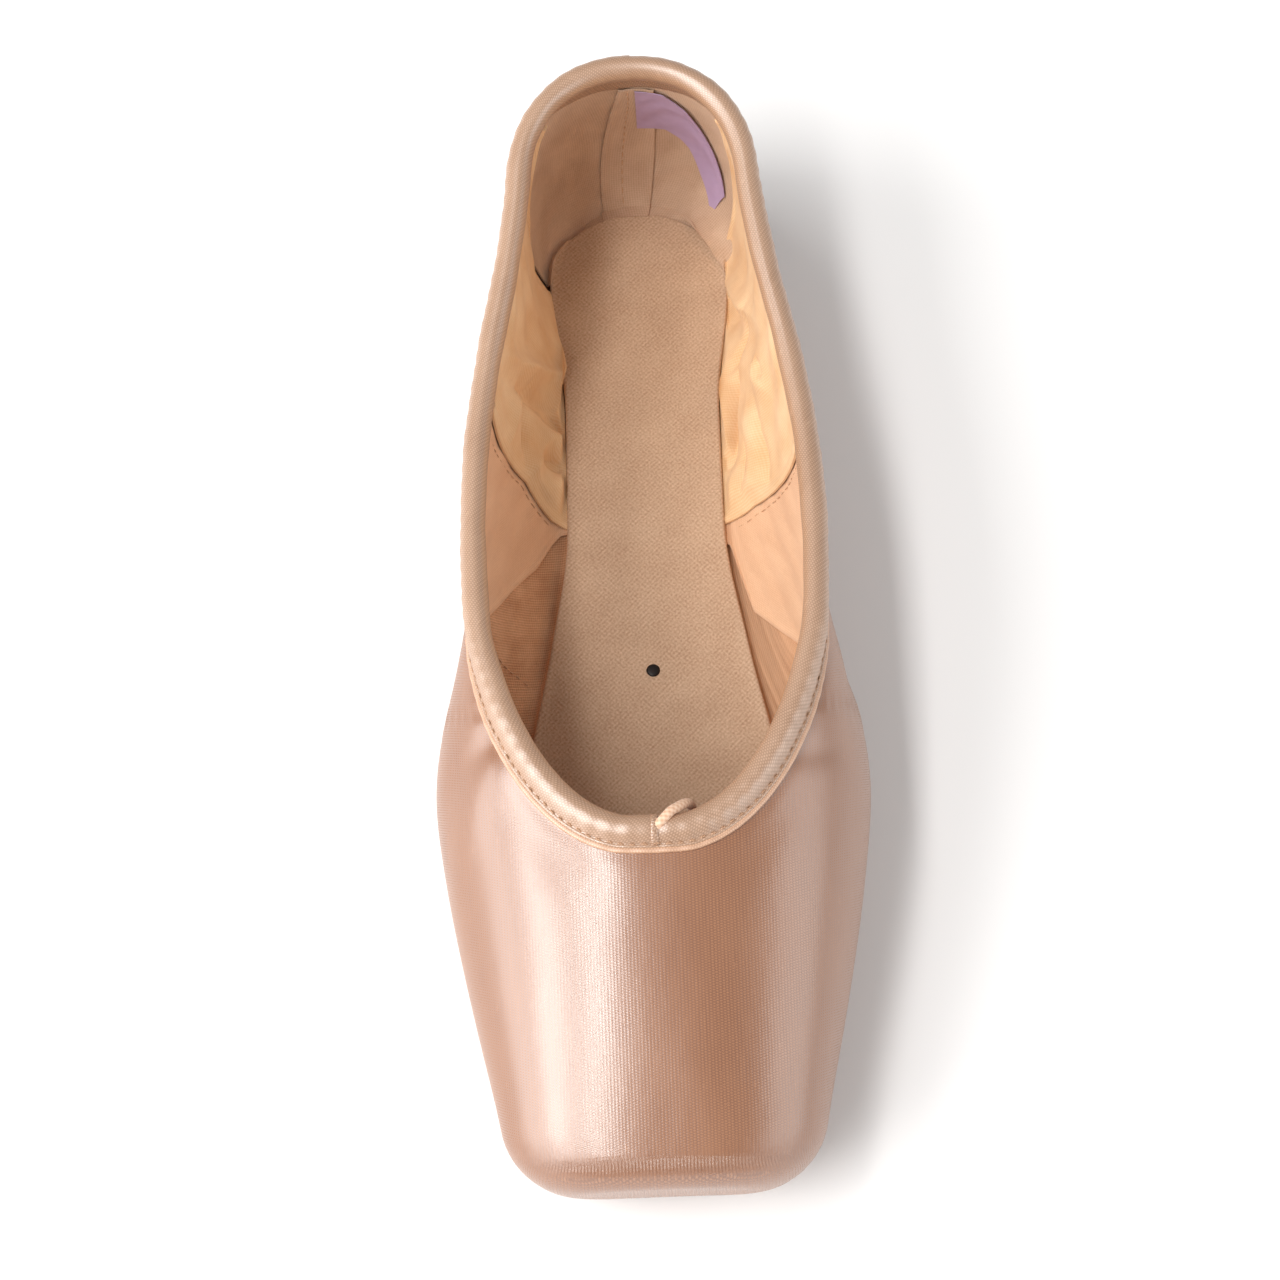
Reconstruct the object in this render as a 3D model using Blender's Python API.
"""Pointe shoe, one shoe that fits either foot, built from its separate pieces.

The frame is in metres with +Z up. The toe platform faces -Y, the heel +Y, and the origin is under the
middle of the shoe on the floor it stands on. Distances "from the toe" run along +Y from the platform's
top edge.
"""

import math
from collections import namedtuple

import bmesh
import bpy
import numpy as np

# Main sizes of the shoe
LENGTH = 0.230
BALL_WIDTH = 0.082
TOE_WIDTH = 0.055
WAIST_WIDTH = 0.067
HEEL_WIDTH = 0.052
TOE_HEIGHT = 0.0315
THROAT_HEIGHT = 0.0505
SIDE_HEIGHT = 0.0450
HEEL_HEIGHT = 0.0520
VAMP_LENGTH = 0.060
TOE_SPRING = 0.0030
ARCH_LIFT = 0.0025
PLATFORM_EDGE_RADIUS = 0.0055
PLATFORM_CORNER_RADIUS = 0.0120
PLATFORM_LEAN_DEG = 10.0
HEEL_ROUND = 0.027
HEEL_BULGE_HEIGHT = 0.024
COLLAR_SETBACK = 0.0062
HEEL_TUCK = 0.0120

# Walls and clearances
BOX_WALL = 0.0024
QUARTER_WALL = 0.0013
COUNTER_WALL = 0.0018
THICKENING = 0.0120
JOIN_GAP = 0.0003

# Outsole, insole and the opening that they close
SOLE_THICKNESS = 0.0028
SOLE_EDGE = 0.0018
SOLE_BALL_WIDTH = 0.047
SOLE_TIP_SETBACK = 0.027
SOLE_HEEL_SETBACK = 0.0130
OPENING_MARGIN = 0.0050
INSOLE_THICKNESS = 0.0024
INSOLE_BALL_WIDTH = 0.052
INSOLE_TIP_SETBACK = 0.030
INSOLE_HEEL_SETBACK = 0.0130
CORE_CLEARANCE = 0.0005
BED_CLEARANCE = 0.00045

# Binding round the collar, and the drawstring in it
BINDING_SWELL = 0.0048
BINDING_CREST = 0.0026
BINDING_LEG = 0.0009
BINDING_DROP = 0.0032
BINDING_INNER_EXTRA = 0.0028
CREST_POINTS = 6
DRAWSTRING_DIAMETER = 0.0018

MILLIMETRE = 0.001

# How finely the meshes follow the form, and the rows of the upper at which the binding's legs end
COLUMNS = 84
ROWS = 18
SEARCH_STEPS = 34
LEG_ROW = -2
INNER_LEG_ROW = -3
FINE_SAMPLES = 420
LOWEST_RAY_DEG = -90
HIGHEST_RAY_DEG = 88
TURN_WINDOW = 15
TURN_WEIGHT = 1.3
LOFT_STATIONS = 34
CORD_POINT_SPACING = 2.0
SHARP_DEG = 40
SLAB_SHARP_DEG = 30

# How far the rounded, leaning edge of the platform stays behind its sharp edge, and the middle between
# that and the heel, where the frame's origin lies
EDGE_LEAN = math.radians(PLATFORM_LEAN_DEG)
EDGE_SETBACK = PLATFORM_EDGE_RADIUS * (1 + math.tan(EDGE_LEAN) - 1 / math.cos(EDGE_LEAN))
MIDDLE = (LENGTH + EDGE_SETBACK) / 2

# How the form leans and closes at its two ends
TOE_LEAN_END = 0.35 * LENGTH
HEEL_LEAN_START = 0.60 * LENGTH
HEEL_LEAN_END = 0.97 * LENGTH
SETBACK_POWER = 1.7
TUCK_POWER = 2.6
HEEL_ROUND_POWER = 2.2

# Where the sections take their height from the collar, and where box and counter thicken the wall
MOUTH_START = 0.34 * LENGTH
MOUTH_END = 0.44 * LENGTH
BOX_FULL = 0.24 * LENGTH
BOX_END = 0.42 * LENGTH
COUNTER_START = 0.80 * LENGTH
COUNTER_FULL = 0.92 * LENGTH

# The spine inside the shoe, and the fans of planes round it that carry the upper's columns
SPINE_HEIGHT = 0.46 * THROAT_HEIGHT
SPINE_FRONT = 0.33 * LENGTH
SPINE_BACK = 0.87 * LENGTH
FAN_FRONT = 0.33 * LENGTH
FAN_BACK = 0.13 * LENGTH

# One row for each section of the form. "along" is a share of LENGTH from the toe. "ball", "toe", "waist"
# and "heel" are the shares of those widths that add up to the section's own width. "rise" goes from 0 at
# TOE_HEIGHT to 1 at THROAT_HEIGHT, and past the throat it is the height at which the form would close
# over the foot. "mouth" is the collar's width as a share of the section's, from the ball backwards.
# "lift" and "arch" are shares of TOE_SPRING and ARCH_LIFT under the section. "widest" is the height of
# its widest point, as a share of THROAT_HEIGHT, and "bed" the flat under it as a share of its width.
# "crown" and "belly" say how square it is above and below its widest point.
Section = namedtuple("Section", "along ball toe waist heel rise mouth lift arch widest bed crown belly")
SECTIONS = (
    Section(0.000, 0.00, 1.00, 0.00, 0.00, 0.00, 0.70, 1.00, 0.00, 0.36, 0.56, 2.6, 2.3),
    Section(0.060, 0.17, 0.83, 0.00, 0.00, 0.27, 0.70, 0.80, 0.00, 0.37, 0.58, 2.5, 2.3),
    Section(0.130, 0.43, 0.57, 0.00, 0.00, 0.56, 0.70, 0.42, 0.00, 0.38, 0.60, 2.4, 2.3),
    Section(0.200, 0.67, 0.33, 0.00, 0.00, 0.80, 0.70, 0.10, 0.00, 0.40, 0.61, 2.3, 2.3),
    Section(0.261, 0.85, 0.15, 0.00, 0.00, 1.00, 0.70, 0.00, 0.00, 0.42, 0.61, 2.3, 2.2),
    Section(0.340, 1.00, 0.00, 0.00, 0.00, 1.22, 0.70, 0.00, 0.00, 0.44, 0.59, 2.3, 2.1),
    Section(0.400, 0.76, 0.00, 0.24, 0.00, 1.38, 0.77, 0.00, 0.10, 0.50, 0.56, 2.1, 2.0),
    Section(0.460, 0.19, 0.00, 0.81, 0.00, 1.60, 0.92, 0.00, 0.45, 0.64, 0.52, 1.8, 2.0),
    Section(0.520, 0.00, 0.00, 0.99, 0.01, 1.80, 0.98, 0.00, 0.80, 0.78, 0.48, 1.8, 2.0),
    Section(0.600, 0.00, 0.00, 0.93, 0.07, 1.80, 0.98, 0.00, 1.00, 0.82, 0.46, 1.8, 2.0),
    Section(0.700, 0.00, 0.00, 0.62, 0.38, 1.80, 0.97, 0.00, 0.70, 0.76, 0.50, 1.9, 2.1),
    Section(0.800, 0.00, 0.00, 0.20, 0.80, 1.80, 0.93, 0.00, 0.12, 0.60, 0.60, 2.0, 2.2),
    Section(0.900, 0.00, 0.00, 0.00, 1.00, 1.80, 0.88, 0.00, 0.00, 0.48, 0.64, 2.1, 2.2),
    Section(1.000, 0.00, 0.00, 0.00, 1.00, 1.80, 0.86, 0.00, 0.00, 0.46, 0.62, 2.1, 2.2),
)

# The collar seen from the side. "along" is a share of the way from the throat to the heel. "throat",
# "side" and "heel" are the shares of those three heights that add up to the collar's own height.
CollarPoint = namedtuple("CollarPoint", "along throat side heel")
COLLAR = (
    CollarPoint(0.00, 1.00, 0.00, 0.00),
    CollarPoint(0.10, 0.92, 0.08, 0.00),
    CollarPoint(0.22, 0.62, 0.38, 0.00),
    CollarPoint(0.38, 0.20, 0.80, 0.00),
    CollarPoint(0.55, 0.00, 1.00, 0.00),
    CollarPoint(0.75, 0.00, 0.62, 0.38),
    CollarPoint(0.90, 0.00, 0.16, 0.84),
    CollarPoint(1.00, 0.00, 0.00, 1.00),
)

# Points across a sole piece, as shares of its half width, and the steepest place that it follows the
# round of the form to
SOLE_ACROSS = (-1, -0.82, -0.45, 0, 0.45, 0.82, 1)
INSOLE_ACROSS = (-1, -0.9, -0.5, 0, 0.5, 0.9, 1)
CORE_ACROSS = (-1, -0.5, 0, 0.5, 1)
STEEPEST_SHARE = 0.97

# Half widths of outsole and insole. "along" is a share of the way from the piece's tip to its back end,
# "sole" a share of half SOLE_BALL_WIDTH and "insole" of half INSOLE_BALL_WIDTH.
SolePoint = namedtuple("SolePoint", "along sole insole")
SOLES = (
    SolePoint(0.00, 0.86, 0.86),
    SolePoint(0.10, 0.96, 0.96),
    SolePoint(0.20, 1.00, 1.00),
    SolePoint(0.32, 0.93, 0.94),
    SolePoint(0.45, 0.72, 0.76),
    SolePoint(0.60, 0.58, 0.61),
    SolePoint(0.75, 0.62, 0.61),
    SolePoint(0.90, 0.74, 0.72),
    SolePoint(1.00, 0.74, 0.64),
)
TIP_ROUND = 0.024
SOLE_BACK_ROUND = 0.019
INSOLE_BACK_ROUND = 0.013

# The drawstring's route, in millimetres from the crest of the binding at the throat: right, towards the
# heel, and up.
DRAWSTRING_ROUTE = (
    (1.0, 0.1, 1.6),
    (1.7, 0.9, 1.6),
    (2.8, 2.1, 1.3),
    (4.1, 3.2, 0.7),
    (5.4, 4.2, -0.3),
    (6.4, 4.8, -1.5),
    (7.0, 4.9, -3.0),
    (7.2, 4.2, -4.3),
    (6.9, 2.6, -6.6),
    (6.5, 0.2, -8.3),
    (6.0, -2.6, -9.4),
    (5.5, -5.6, -10.2),
    (5.0, -8.6, -10.9),
    (4.5, -11.6, -11.6),
    (4.2, -13.6, -12.0),
)


def curve_through(knots, values, at):
    """Smooth curve through a table's points that never swings past them."""
    knots, values, at = (np.asarray(a, float) for a in (knots, values, at))
    steps = np.diff(knots)
    slopes = np.diff(values) / steps
    tangents = np.zeros_like(values)
    same_way = slopes[:-1] * slopes[1:] > 0
    before, after = 2 * steps[1:] + steps[:-1], steps[1:] + 2 * steps[:-1]
    with np.errstate(divide="ignore", invalid="ignore"):
        mean = (before + after) / (before / slopes[:-1] + after / slopes[1:])
    tangents[1:-1] = np.where(same_way, mean, 0.0)
    tangents[0], tangents[-1] = slopes[0], slopes[-1]
    at = np.clip(at, knots[0], knots[-1])
    cell = np.clip(np.searchsorted(knots, at, side="right") - 1, 0, len(steps) - 1)
    width = steps[cell]
    t = (at - knots[cell]) / width
    rest = 1 - t
    return (
        values[cell] * (1 + 2 * t) * rest**2
        + values[cell + 1] * t**2 * (3 - 2 * t)
        + tangents[cell] * width * t * rest**2
        - tangents[cell + 1] * width * t**2 * rest
    )


def ease(low, high, at):
    """0 before low, 1 after high, and a smooth step between."""
    t = np.clip((at - low) / (high - low), 0, 1)
    return t * t * (3 - 2 * t)


def column_of(rows, name):
    """One named column of a table."""
    return [getattr(row, name) for row in rows]


def section_value(name, station):
    """A column of SECTIONS at distances from the toe."""
    return curve_through(column_of(SECTIONS, "along"), column_of(SECTIONS, name), station / LENGTH)


def half_width(station):
    """Half the form's greatest width at distances from the toe."""
    widths = {"ball": BALL_WIDTH, "toe": TOE_WIDTH, "waist": WAIST_WIDTH, "heel": HEEL_WIDTH}
    return sum(section_value(name, station) * width for name, width in widths.items()) / 2


def collar_line(station):
    """Height of the upper's top edge seen from the side."""
    share = np.clip((station - VAMP_LENGTH) / (LENGTH - VAMP_LENGTH), 0, 1)
    throat = TOE_HEIGHT + section_value("rise", VAMP_LENGTH) * (THROAT_HEIGHT - TOE_HEIGHT)
    heights = {"throat": throat, "side": SIDE_HEIGHT, "heel": HEEL_HEIGHT}
    along = column_of(COLLAR, "along")
    return sum(curve_through(along, column_of(COLLAR, name), share) * h for name, h in heights.items())


def widest_height(station):
    """Height of the form's widest point."""
    return section_value("widest", station) * THROAT_HEIGHT


def top_height(station):
    """Height at which the form closes over the foot, behind the ball so that the collar has its width."""
    vamp = TOE_HEIGHT + section_value("rise", station) * (THROAT_HEIGHT - TOE_HEIGHT)
    crown = section_value("crown", station)
    widest = widest_height(station)
    narrowing = (1 - section_value("mouth", station) ** crown) ** (1 / crown)
    quarter = widest + np.maximum(collar_line(station) - widest, MILLIMETRE) / narrowing
    behind_ball = ease(MOUTH_START, MOUTH_END, station)
    return vamp + behind_ball * (quarter - vamp)


def underside(station):
    """Height of the upper's underside on the centre line."""
    lift = section_value("lift", station) * TOE_SPRING + section_value("arch", station) * ARCH_LIFT
    return SOLE_THICKNESS + JOIN_GAP + lift


def leaned_station(y, z):
    """Distance from the toe along planes that lean as the platform does in front and as the back seam
    does behind."""
    from_toe = y + MIDDLE
    toe_share = 1 - ease(0, TOE_LEAN_END, from_toe)
    toe_lean = toe_share * math.tan(EDGE_LEAN) * (z - TOE_HEIGHT)
    above = np.clip((z - HEEL_BULGE_HEIGHT) / (HEEL_HEIGHT - HEEL_BULGE_HEIGHT), 0, None)
    below = np.clip((HEEL_BULGE_HEIGHT - z) / HEEL_BULGE_HEIGHT, 0, 1)
    setback = COLLAR_SETBACK * above**SETBACK_POWER + HEEL_TUCK * below**TUCK_POWER
    return from_toe + toe_lean + ease(HEEL_LEAN_START, HEEL_LEAN_END, from_toe) * setback


def quarter_round(station, radius):
    """How far a quarter round at the platform's edge draws a section in."""
    left = np.clip(1 - station / radius, 0, 1)
    return radius * (1 - np.sqrt(1 - left**2))


def heel_closing(station):
    """Share of its width that the form keeps where it closes at the heel."""
    into = np.clip((station - (LENGTH - HEEL_ROUND)) / HEEL_ROUND, 0, 1)
    return (1 - into**HEEL_ROUND_POWER) ** (1 / HEEL_ROUND_POWER)


def inside_form(x, y, z):
    """True where a point lies inside the outer form of the upper.

    Each section is half a superellipse above its widest height, and below it a flat bed with a round
    on each side. The platform's edge is a quarter round, and the heel closes as an ellipse does.
    """
    station = leaned_station(y, z)
    inset = quarter_round(station, PLATFORM_EDGE_RADIUS)
    corner = quarter_round(station, PLATFORM_CORNER_RADIUS)
    half = (half_width(station) - corner) * heel_closing(station)
    widest = widest_height(station)
    over = top_height(station) - inset - widest
    under = widest - underside(station) - inset
    above = z > widest
    reach = np.where(above, (z - widest) / over, (widest - z) / under)
    power = np.where(above, section_value("crown", station), section_value("belly", station))
    flat = np.where(above, 0.0, section_value("bed", station))
    side = flat + (1 - flat) * (1 - np.clip(reach, 0, 1) ** power) ** (1 / power)
    return (station > 0) & (station < LENGTH) & (reach < 1) & (np.abs(x) < half * side)


def rounded_outline(station, tip, back, widths, half_ball, tip_round, back_round):
    """Half width of a sole's outline, below 0 past its two ends."""
    share = (station - tip) / (back - tip)
    half = curve_through(column_of(SOLES, "along"), column_of(SOLES, widths), share) * half_ball
    in_tip = np.clip((tip + tip_round - station) / tip_round, 0, None)
    in_back = np.clip((station - back + back_round) / back_round, 0, None)
    past = np.maximum(in_tip, in_back)
    return np.where(past < 1, half * np.sqrt(np.clip(1 - past**2, 0, 1)), half * (1 - past))


def sole_outline(station, inset=0.0):
    """Half width of the outsole, drawn in by inset all round."""
    tip, back = SOLE_TIP_SETBACK + inset, LENGTH - SOLE_HEEL_SETBACK - inset
    half = SOLE_BALL_WIDTH / 2 - inset
    return rounded_outline(station, tip, back, "sole", half, TIP_ROUND, SOLE_BACK_ROUND)


def insole_outline(station):
    """Half width of the insole."""
    tip, back = INSOLE_TIP_SETBACK, LENGTH - INSOLE_HEEL_SETBACK
    half = INSOLE_BALL_WIDTH / 2
    return rounded_outline(station, tip, back, "insole", half, TIP_ROUND, INSOLE_BACK_ROUND)


def wall_thickness(y, below_collar):
    """Thickness of the upper's wall: stiff box in front, counter behind, thin at the collar."""
    from_toe = y + MIDDLE
    box = 1 - ease(BOX_FULL, BOX_END, from_toe)
    counter = ease(COUNTER_START, COUNTER_FULL, from_toe)
    banded = BINDING_DROP + BINDING_INNER_EXTRA
    body = ease(banded, banded + THICKENING, below_collar)
    return QUARTER_WALL + body * (box * (BOX_WALL - QUARTER_WALL) + counter * (COUNTER_WALL - QUARTER_WALL))


def form_columns():
    """Points of the whole form on fans of planes round an upright spine: columns by fine samples."""
    turn = 2 * math.pi * np.arange(COLUMNS) / COLUMNS
    ahead = np.cos(turn)
    middle, swing = (SPINE_FRONT + SPINE_BACK) / 2, (SPINE_BACK - SPINE_FRONT) / 2
    origin_y = middle - swing * ahead - MIDDLE
    aim_x = BALL_WIDTH / 2 * np.sin(turn)
    aim_y = -np.where(ahead > 0, FAN_FRONT, FAN_BACK) * ahead
    size = np.hypot(aim_x, aim_y)
    tilt = np.radians(np.linspace(LOWEST_RAY_DEG, HIGHEST_RAY_DEG, FINE_SAMPLES))
    flat, upright = np.cos(tilt)[None, :], np.sin(tilt)[None, :]
    ray_x, ray_y = (aim_x / size)[:, None] * flat, (aim_y / size)[:, None] * flat
    near, far = np.zeros((COLUMNS, FINE_SAMPLES)), np.full((COLUMNS, FINE_SAMPLES), LENGTH)
    for _ in range(SEARCH_STEPS):
        reach = (near + far) / 2
        held = inside_form(reach * ray_x, origin_y[:, None] + reach * ray_y, SPINE_HEIGHT + reach * upright)
        near, far = np.where(held, reach, near), np.where(held, far, reach)
    return np.stack(
        [near * ray_x, origin_y[:, None] + near * ray_y, SPINE_HEIGHT + near * upright], axis=-1
    )


def first_crossing(values):
    """Where a row of values first goes from below 0 to above, as a fractional index."""
    after = int(np.argmax(values > 0))
    low, high = values[after - 1], values[after]
    return after - 1 + low / (low - high)


def last_crossing(values):
    """Where a row of values goes from below 0 to above for the last time."""
    return len(values) - 1 - first_crossing(-values[::-1])


def spread_rows(points, start, end):
    """Rows along one column between two fractional indices: the last two stand where the binding's
    legs end, and the rest are even, closer where the form turns."""
    index = np.concatenate([[start], np.arange(math.ceil(start), math.floor(end) + 1), [end]])
    whole = np.arange(len(points))
    line = np.stack([np.interp(index, whole, points[:, axis]) for axis in range(3)], axis=-1)
    steps = np.diff(line, axis=0)
    lengths = np.linalg.norm(steps, axis=1) + 1e-9
    ways = steps / lengths[:, None]
    turns = np.linalg.norm(np.diff(ways, axis=0), axis=1)
    turns = np.convolve(np.concatenate([[0], turns]), np.ones(TURN_WINDOW) / TURN_WINDOW, mode="same")
    weights = lengths / lengths.sum() + TURN_WEIGHT * turns / max(turns.sum(), 1.0)
    weighed = np.concatenate([[0], np.cumsum(weights)])
    travelled = np.concatenate([[0], np.cumsum(lengths)])
    banded = travelled[-1] - BINDING_DROP - BINDING_INNER_EXTRA
    free = np.linspace(0, np.interp(banded, travelled, weighed), ROWS - 2)
    band = np.interp([travelled[-1] - BINDING_DROP, travelled[-1]], travelled, weighed)
    wanted = np.concatenate([free, band])
    return np.stack([np.interp(wanted, weighed, line[:, axis]) for axis in range(3)], axis=-1)


def upper_surface():
    """Outer face of the upper as a grid, columns round the shoe by rows from sole opening to collar."""
    columns = form_columns()
    station = columns[..., 1] + MIDDLE
    beyond_opening = np.abs(columns[..., 0]) - sole_outline(station, OPENING_MARGIN)
    before_throat = np.clip(VAMP_LENGTH - station, 0, None)
    above_collar = columns[..., 2] - collar_line(station) - before_throat
    return np.stack(
        [
            spread_rows(columns[i], first_crossing(beyond_opening[i]), last_crossing(above_collar[i]))
            for i in range(COLUMNS)
        ]
    )


def grid_normals(grid):
    """Outward unit normals of a grid that closes in its first direction."""
    round_way = np.roll(grid, -1, axis=0) - np.roll(grid, 1, axis=0)
    up_way = np.gradient(grid, axis=1)
    normal = np.cross(round_way, up_way)
    return normal / np.linalg.norm(normal, axis=-1, keepdims=True)


def depth_below_edge(grid):
    """Distance down each column from its top edge."""
    steps = np.linalg.norm(np.diff(grid, axis=1), axis=-1)
    down = np.cumsum(steps[:, ::-1], axis=1)[:, ::-1]
    return np.concatenate([down, np.zeros((len(grid), 1))], axis=1)


def closed_ring_mesh(loops):
    """Vertices and quads of a tube that closes on itself: rings of points round the shoe."""
    count, size = loops.shape[:2]
    i, j = np.meshgrid(np.arange(count), np.arange(size), indexing="ij")
    i_next, j_next = (i + 1) % count, (j + 1) % size
    corners = [i * size + j, i_next * size + j, i_next * size + j_next, i * size + j_next]
    return loops.reshape(-1, 3), np.stack(corners, axis=-1).reshape(-1, 4).tolist()


def capped_loft_mesh(loops):
    """Vertices and faces of a solid lofted through closed loops, with a flat cap at each end."""
    count, size = loops.shape[:2]
    i, j = np.meshgrid(np.arange(count - 1), np.arange(size), indexing="ij")
    j_next = (j + 1) % size
    corners = [i * size + j, (i + 1) * size + j, (i + 1) * size + j_next, i * size + j_next]
    faces = np.stack(corners, axis=-1).reshape(-1, 4).tolist()
    faces.append(list(range(size)))
    faces.append(list(range((count - 1) * size, count * size)))
    return loops.reshape(-1, 3), faces


def material(name, colour, roughness):
    """Plain Principled material."""
    made = bpy.data.materials.new(name)
    made.use_nodes = True
    shader = made.node_tree.nodes["Principled BSDF"]
    shader.inputs["Base Color"].default_value = (*colour, 1.0)
    shader.inputs["Roughness"].default_value = roughness
    shader.inputs["Metallic"].default_value = 0.0
    return made


def solid(name, points, faces, finish, sharp_deg=SHARP_DEG):
    """Object from points and faces, with its normals out and its round faces shaded smooth."""
    mesh = bpy.data.meshes.new(name)
    mesh.from_pydata([tuple(p) for p in points], [], faces)
    shape = bmesh.new()
    shape.from_mesh(mesh)
    bmesh.ops.recalc_face_normals(shape, faces=shape.faces)
    shape.to_mesh(mesh)
    shape.free()
    mesh.shade_smooth()
    mesh.set_sharp_from_angle(angle=math.radians(sharp_deg))
    mesh.materials.append(finish)
    made = bpy.data.objects.new(name, mesh)
    bpy.context.scene.collection.objects.link(made)
    return made


def build_upper(outer, normals, finish):
    """Box, vamp and quarters: one wall from the lasted margin under the foot to the collar."""
    thickness = wall_thickness(outer[..., 1], depth_below_edge(outer))
    inner = outer - normals * thickness[..., None]
    return solid("upper", *closed_ring_mesh(np.concatenate([outer, inner[:, ::-1]], axis=1)), finish)


def collar_frames(outer, normals):
    """For each column the collar's outer edge, its outward way and its way up."""
    edge, out = outer[:, -1], normals[:, -1]
    along = np.roll(edge, -1, axis=0) - np.roll(edge, 1, axis=0)
    up = np.cross(out, along)
    up /= np.linalg.norm(up, axis=-1, keepdims=True)
    up *= np.sign((up * (edge - outer[:, -2])).sum(-1, keepdims=True))
    return edge, out, up


def build_binding(outer, normals, finish):
    """Folded band that wraps the upper's top edge and carries the drawstring: a round crest above the
    edge, and two legs that follow the wall down, the inner one further."""
    edge, out, up = collar_frames(outer, normals)
    middle = edge - out * QUARTER_WALL / 2
    swell = BINDING_SWELL / 2
    slot = QUARTER_WALL / 2 + JOIN_GAP

    def down(row, offset):
        """Points at a row of the wall below its edge, offset from the wall's middle."""
        return outer[:, row] + normals[:, row] * (offset - QUARTER_WALL / 2)

    crest = [
        middle + out * swell * math.cos(turn) + up * BINDING_CREST * math.sin(turn)
        for turn in np.radians(np.linspace(0, 180, CREST_POINTS))
    ]
    inner_leg = [down(LEG_ROW, -swell), down(INNER_LEG_ROW, -slot - BINDING_LEG)]
    inner_leg += [down(INNER_LEG_ROW, -slot), down(LEG_ROW, -slot)]
    roof = [middle - out * slot + up * JOIN_GAP, middle + out * slot + up * JOIN_GAP]
    outer_leg = [down(LEG_ROW, slot), down(LEG_ROW, slot + BINDING_LEG)]
    ring = crest + inner_leg + roof + outer_leg
    return solid("binding", *closed_ring_mesh(np.stack(ring[::-1], axis=1)), finish)


def end_packed_stations(tip, back):
    """Stations from tip to back, closer together towards both ends, and just short of them."""
    turn = np.linspace(0, math.pi, LOFT_STATIONS + 2)[1:-1]
    return (tip + back) / 2 - (back - tip) / 2 * np.cos(turn)


def form_floor(x, y):
    """Height of the form's underside, which the sole pieces follow."""
    station = leaned_station(y, underside(y + MIDDLE))
    widest = widest_height(station)
    belly = section_value("belly", station)
    half = (half_width(station) - quarter_round(station, PLATFORM_CORNER_RADIUS)) * heel_closing(station)
    bed = section_value("bed", station)
    share = np.clip((np.abs(x) / half - bed) / (1 - bed), 0, STEEPEST_SHARE)
    return widest - (widest - underside(station)) * (1 - share**belly) ** (1 / belly)


def loft_grid(station, half, across):
    """Points across a sole piece at its stations: x and y, both stations by points."""
    x = np.asarray(across)[None, :] * half[:, None]
    return x, np.repeat(station[:, None] - MIDDLE, len(across), axis=1)


def slab(name, x, y, top, bottom, finish):
    """Solid between two faces over one grid of x and y."""
    loops = np.concatenate([np.stack([x, y, top], -1), np.stack([x, y, bottom], -1)[:, ::-1]], axis=1)
    return solid(name, *capped_loft_mesh(loops), finish, SLAB_SHARP_DEG)


def build_outsole(finish):
    """Leather outsole: flat under heel and ball, hollow under the arch, thin at its edge."""
    station = end_packed_stations(SOLE_TIP_SETBACK, LENGTH - SOLE_HEEL_SETBACK)
    x, y = loft_grid(station, sole_outline(station), SOLE_ACROSS)
    ground = section_value("arch", station) * ARCH_LIFT + section_value("lift", station) * TOE_SPRING
    top = form_floor(x, y) - JOIN_GAP
    bottom = np.repeat(ground[:, None], x.shape[1], axis=1)
    bottom[:, [0, -1]] = (top - SOLE_EDGE)[:, [0, -1]]
    return slab("outsole", x, y, top, bottom, finish)


def margin_top(x, y):
    """Upper side of the wall that is drawn in under the foot, with the clearance on it."""
    slope_x = (form_floor(x + MILLIMETRE, y) - form_floor(x - MILLIMETRE, y)) / (2 * MILLIMETRE)
    slope_y = (form_floor(x, y + MILLIMETRE) - form_floor(x, y - MILLIMETRE)) / (2 * MILLIMETRE)
    slant = np.sqrt(1 + slope_x**2 + slope_y**2)
    return form_floor(x, y) + (wall_thickness(y, LENGTH) + BED_CLEARANCE) * slant


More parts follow.
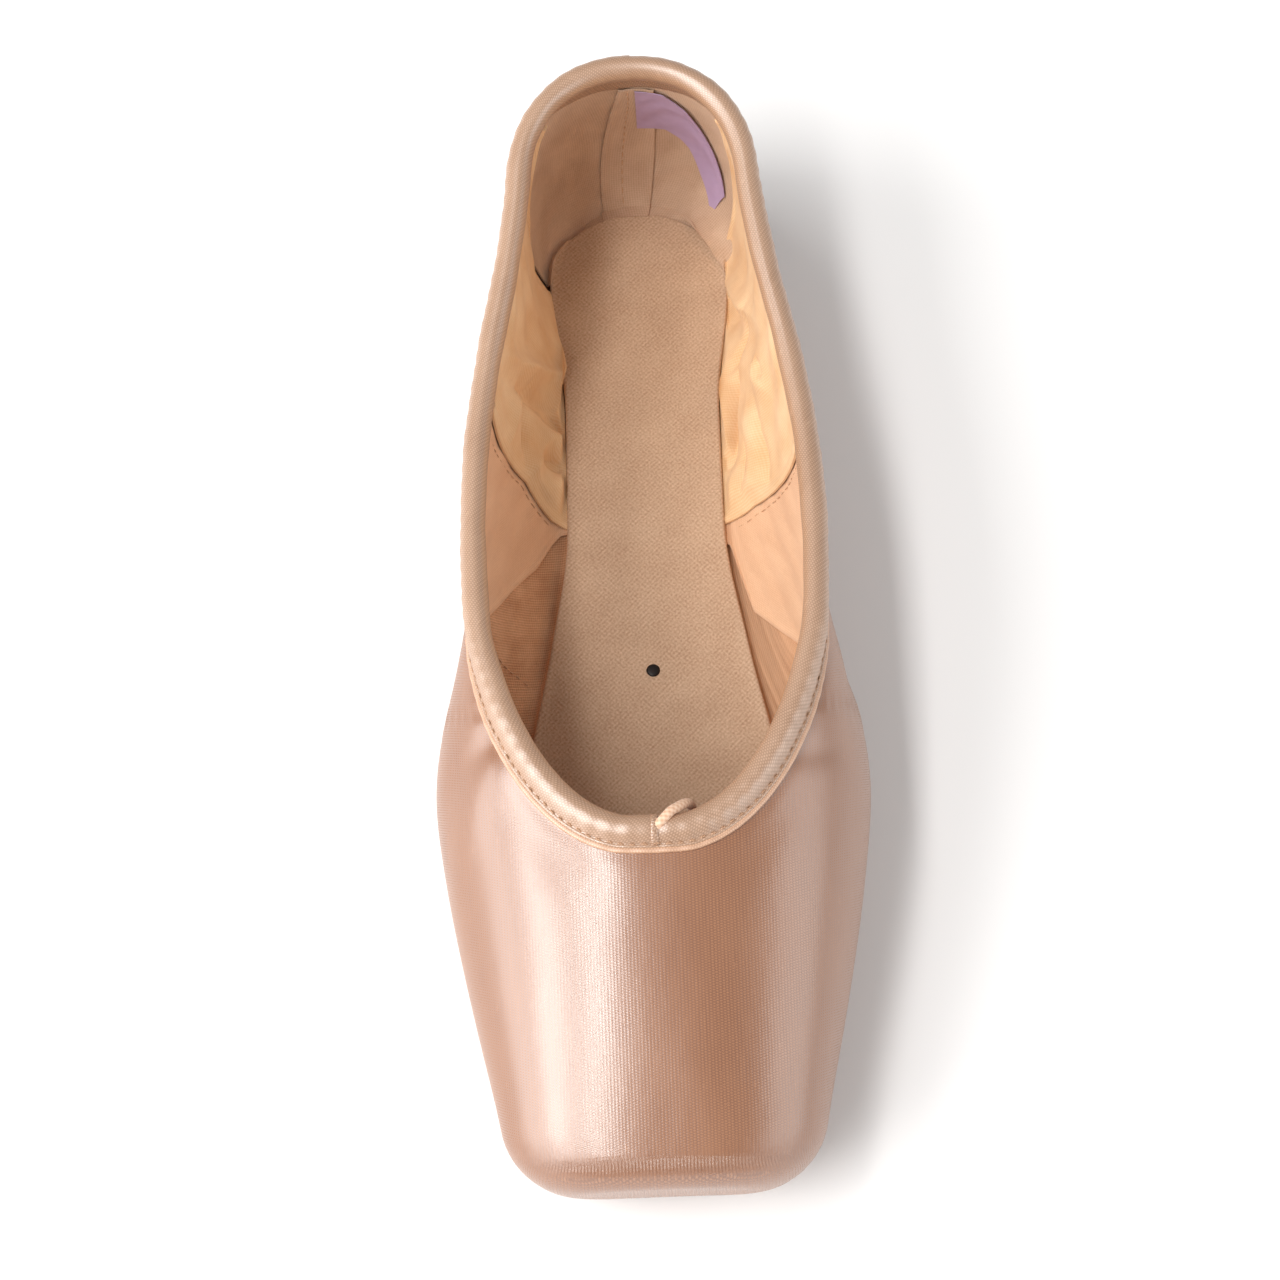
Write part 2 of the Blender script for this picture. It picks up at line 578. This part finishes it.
def build_insole(finish):
    """Insole: a covered board bent to the wall under it, with a core that fills the sole opening."""
    station = end_packed_stations(INSOLE_TIP_SETBACK, LENGTH - INSOLE_HEEL_SETBACK)
    x, y = loft_grid(station, insole_outline(station), INSOLE_ACROSS)
    bottom = margin_top(x, y)
    board = slab("insole", x, y, bottom + INSOLE_THICKNESS, bottom, finish)
    inset = OPENING_MARGIN + CORE_CLEARANCE
    station = end_packed_stations(SOLE_TIP_SETBACK + inset, LENGTH - SOLE_HEEL_SETBACK - inset)
    x, y = loft_grid(station, sole_outline(station, inset), CORE_ACROSS)
    middle = margin_top(x, y) + INSOLE_THICKNESS / 2
    core = slab("insole_core_shape", x, y, middle, form_floor(x, y), finish)
    core.hide_render = True
    core.display_type = "WIRE"
    join = board.modifiers.new("core", "BOOLEAN")
    join.operation = "UNION"
    join.object = core
    return board


def build_drawstring(outer, normals, finish):
    """Drawstring: out of the binding at the throat, over its crest and away under the vamp."""
    edge, out, up = collar_frames(outer, normals)
    crest = edge[0] - out[0] * QUARTER_WALL / 2 + up[0] * BINDING_CREST
    route = crest + np.array(DRAWSTRING_ROUTE) * MILLIMETRE
    travelled = np.concatenate([[0], np.cumsum(np.linalg.norm(np.diff(route, axis=0), axis=1))])
    count = int(travelled[-1] / (CORD_POINT_SPACING * DRAWSTRING_DIAMETER)) + 2
    wanted = np.linspace(0, travelled[-1], count)
    points = np.stack([curve_through(travelled, route[:, axis], wanted) for axis in range(3)], axis=-1)
    line = bpy.data.curves.new("drawstring", "CURVE")
    line.dimensions = "3D"
    line.bevel_depth = DRAWSTRING_DIAMETER / 2
    line.bevel_resolution = 2
    line.use_fill_caps = True
    spline = line.splines.new("POLY")
    spline.points.add(len(points) - 1)
    spline.points.foreach_set("co", np.column_stack([points, np.ones(len(points))]).ravel())
    line.materials.append(finish)
    made = bpy.data.objects.new("drawstring", line)
    bpy.context.scene.collection.objects.link(made)
    return made


def main():
    """Clears the scene and builds the pieces of the shoe."""
    for old in list(bpy.data.objects):
        bpy.data.objects.remove(old)
    outer = upper_surface()
    normals = grid_normals(outer)
    build_upper(outer, normals, material("satin", (0.76, 0.52, 0.38), 0.35))
    build_binding(outer, normals, material("satin_binding", (0.80, 0.60, 0.47), 0.45))
    build_outsole(material("sole_leather", (0.62, 0.45, 0.32), 0.75))
    build_insole(material("insole_felt", (0.66, 0.50, 0.37), 0.95))
    build_drawstring(outer, normals, material("cord", (0.78, 0.55, 0.40), 0.60))


main()
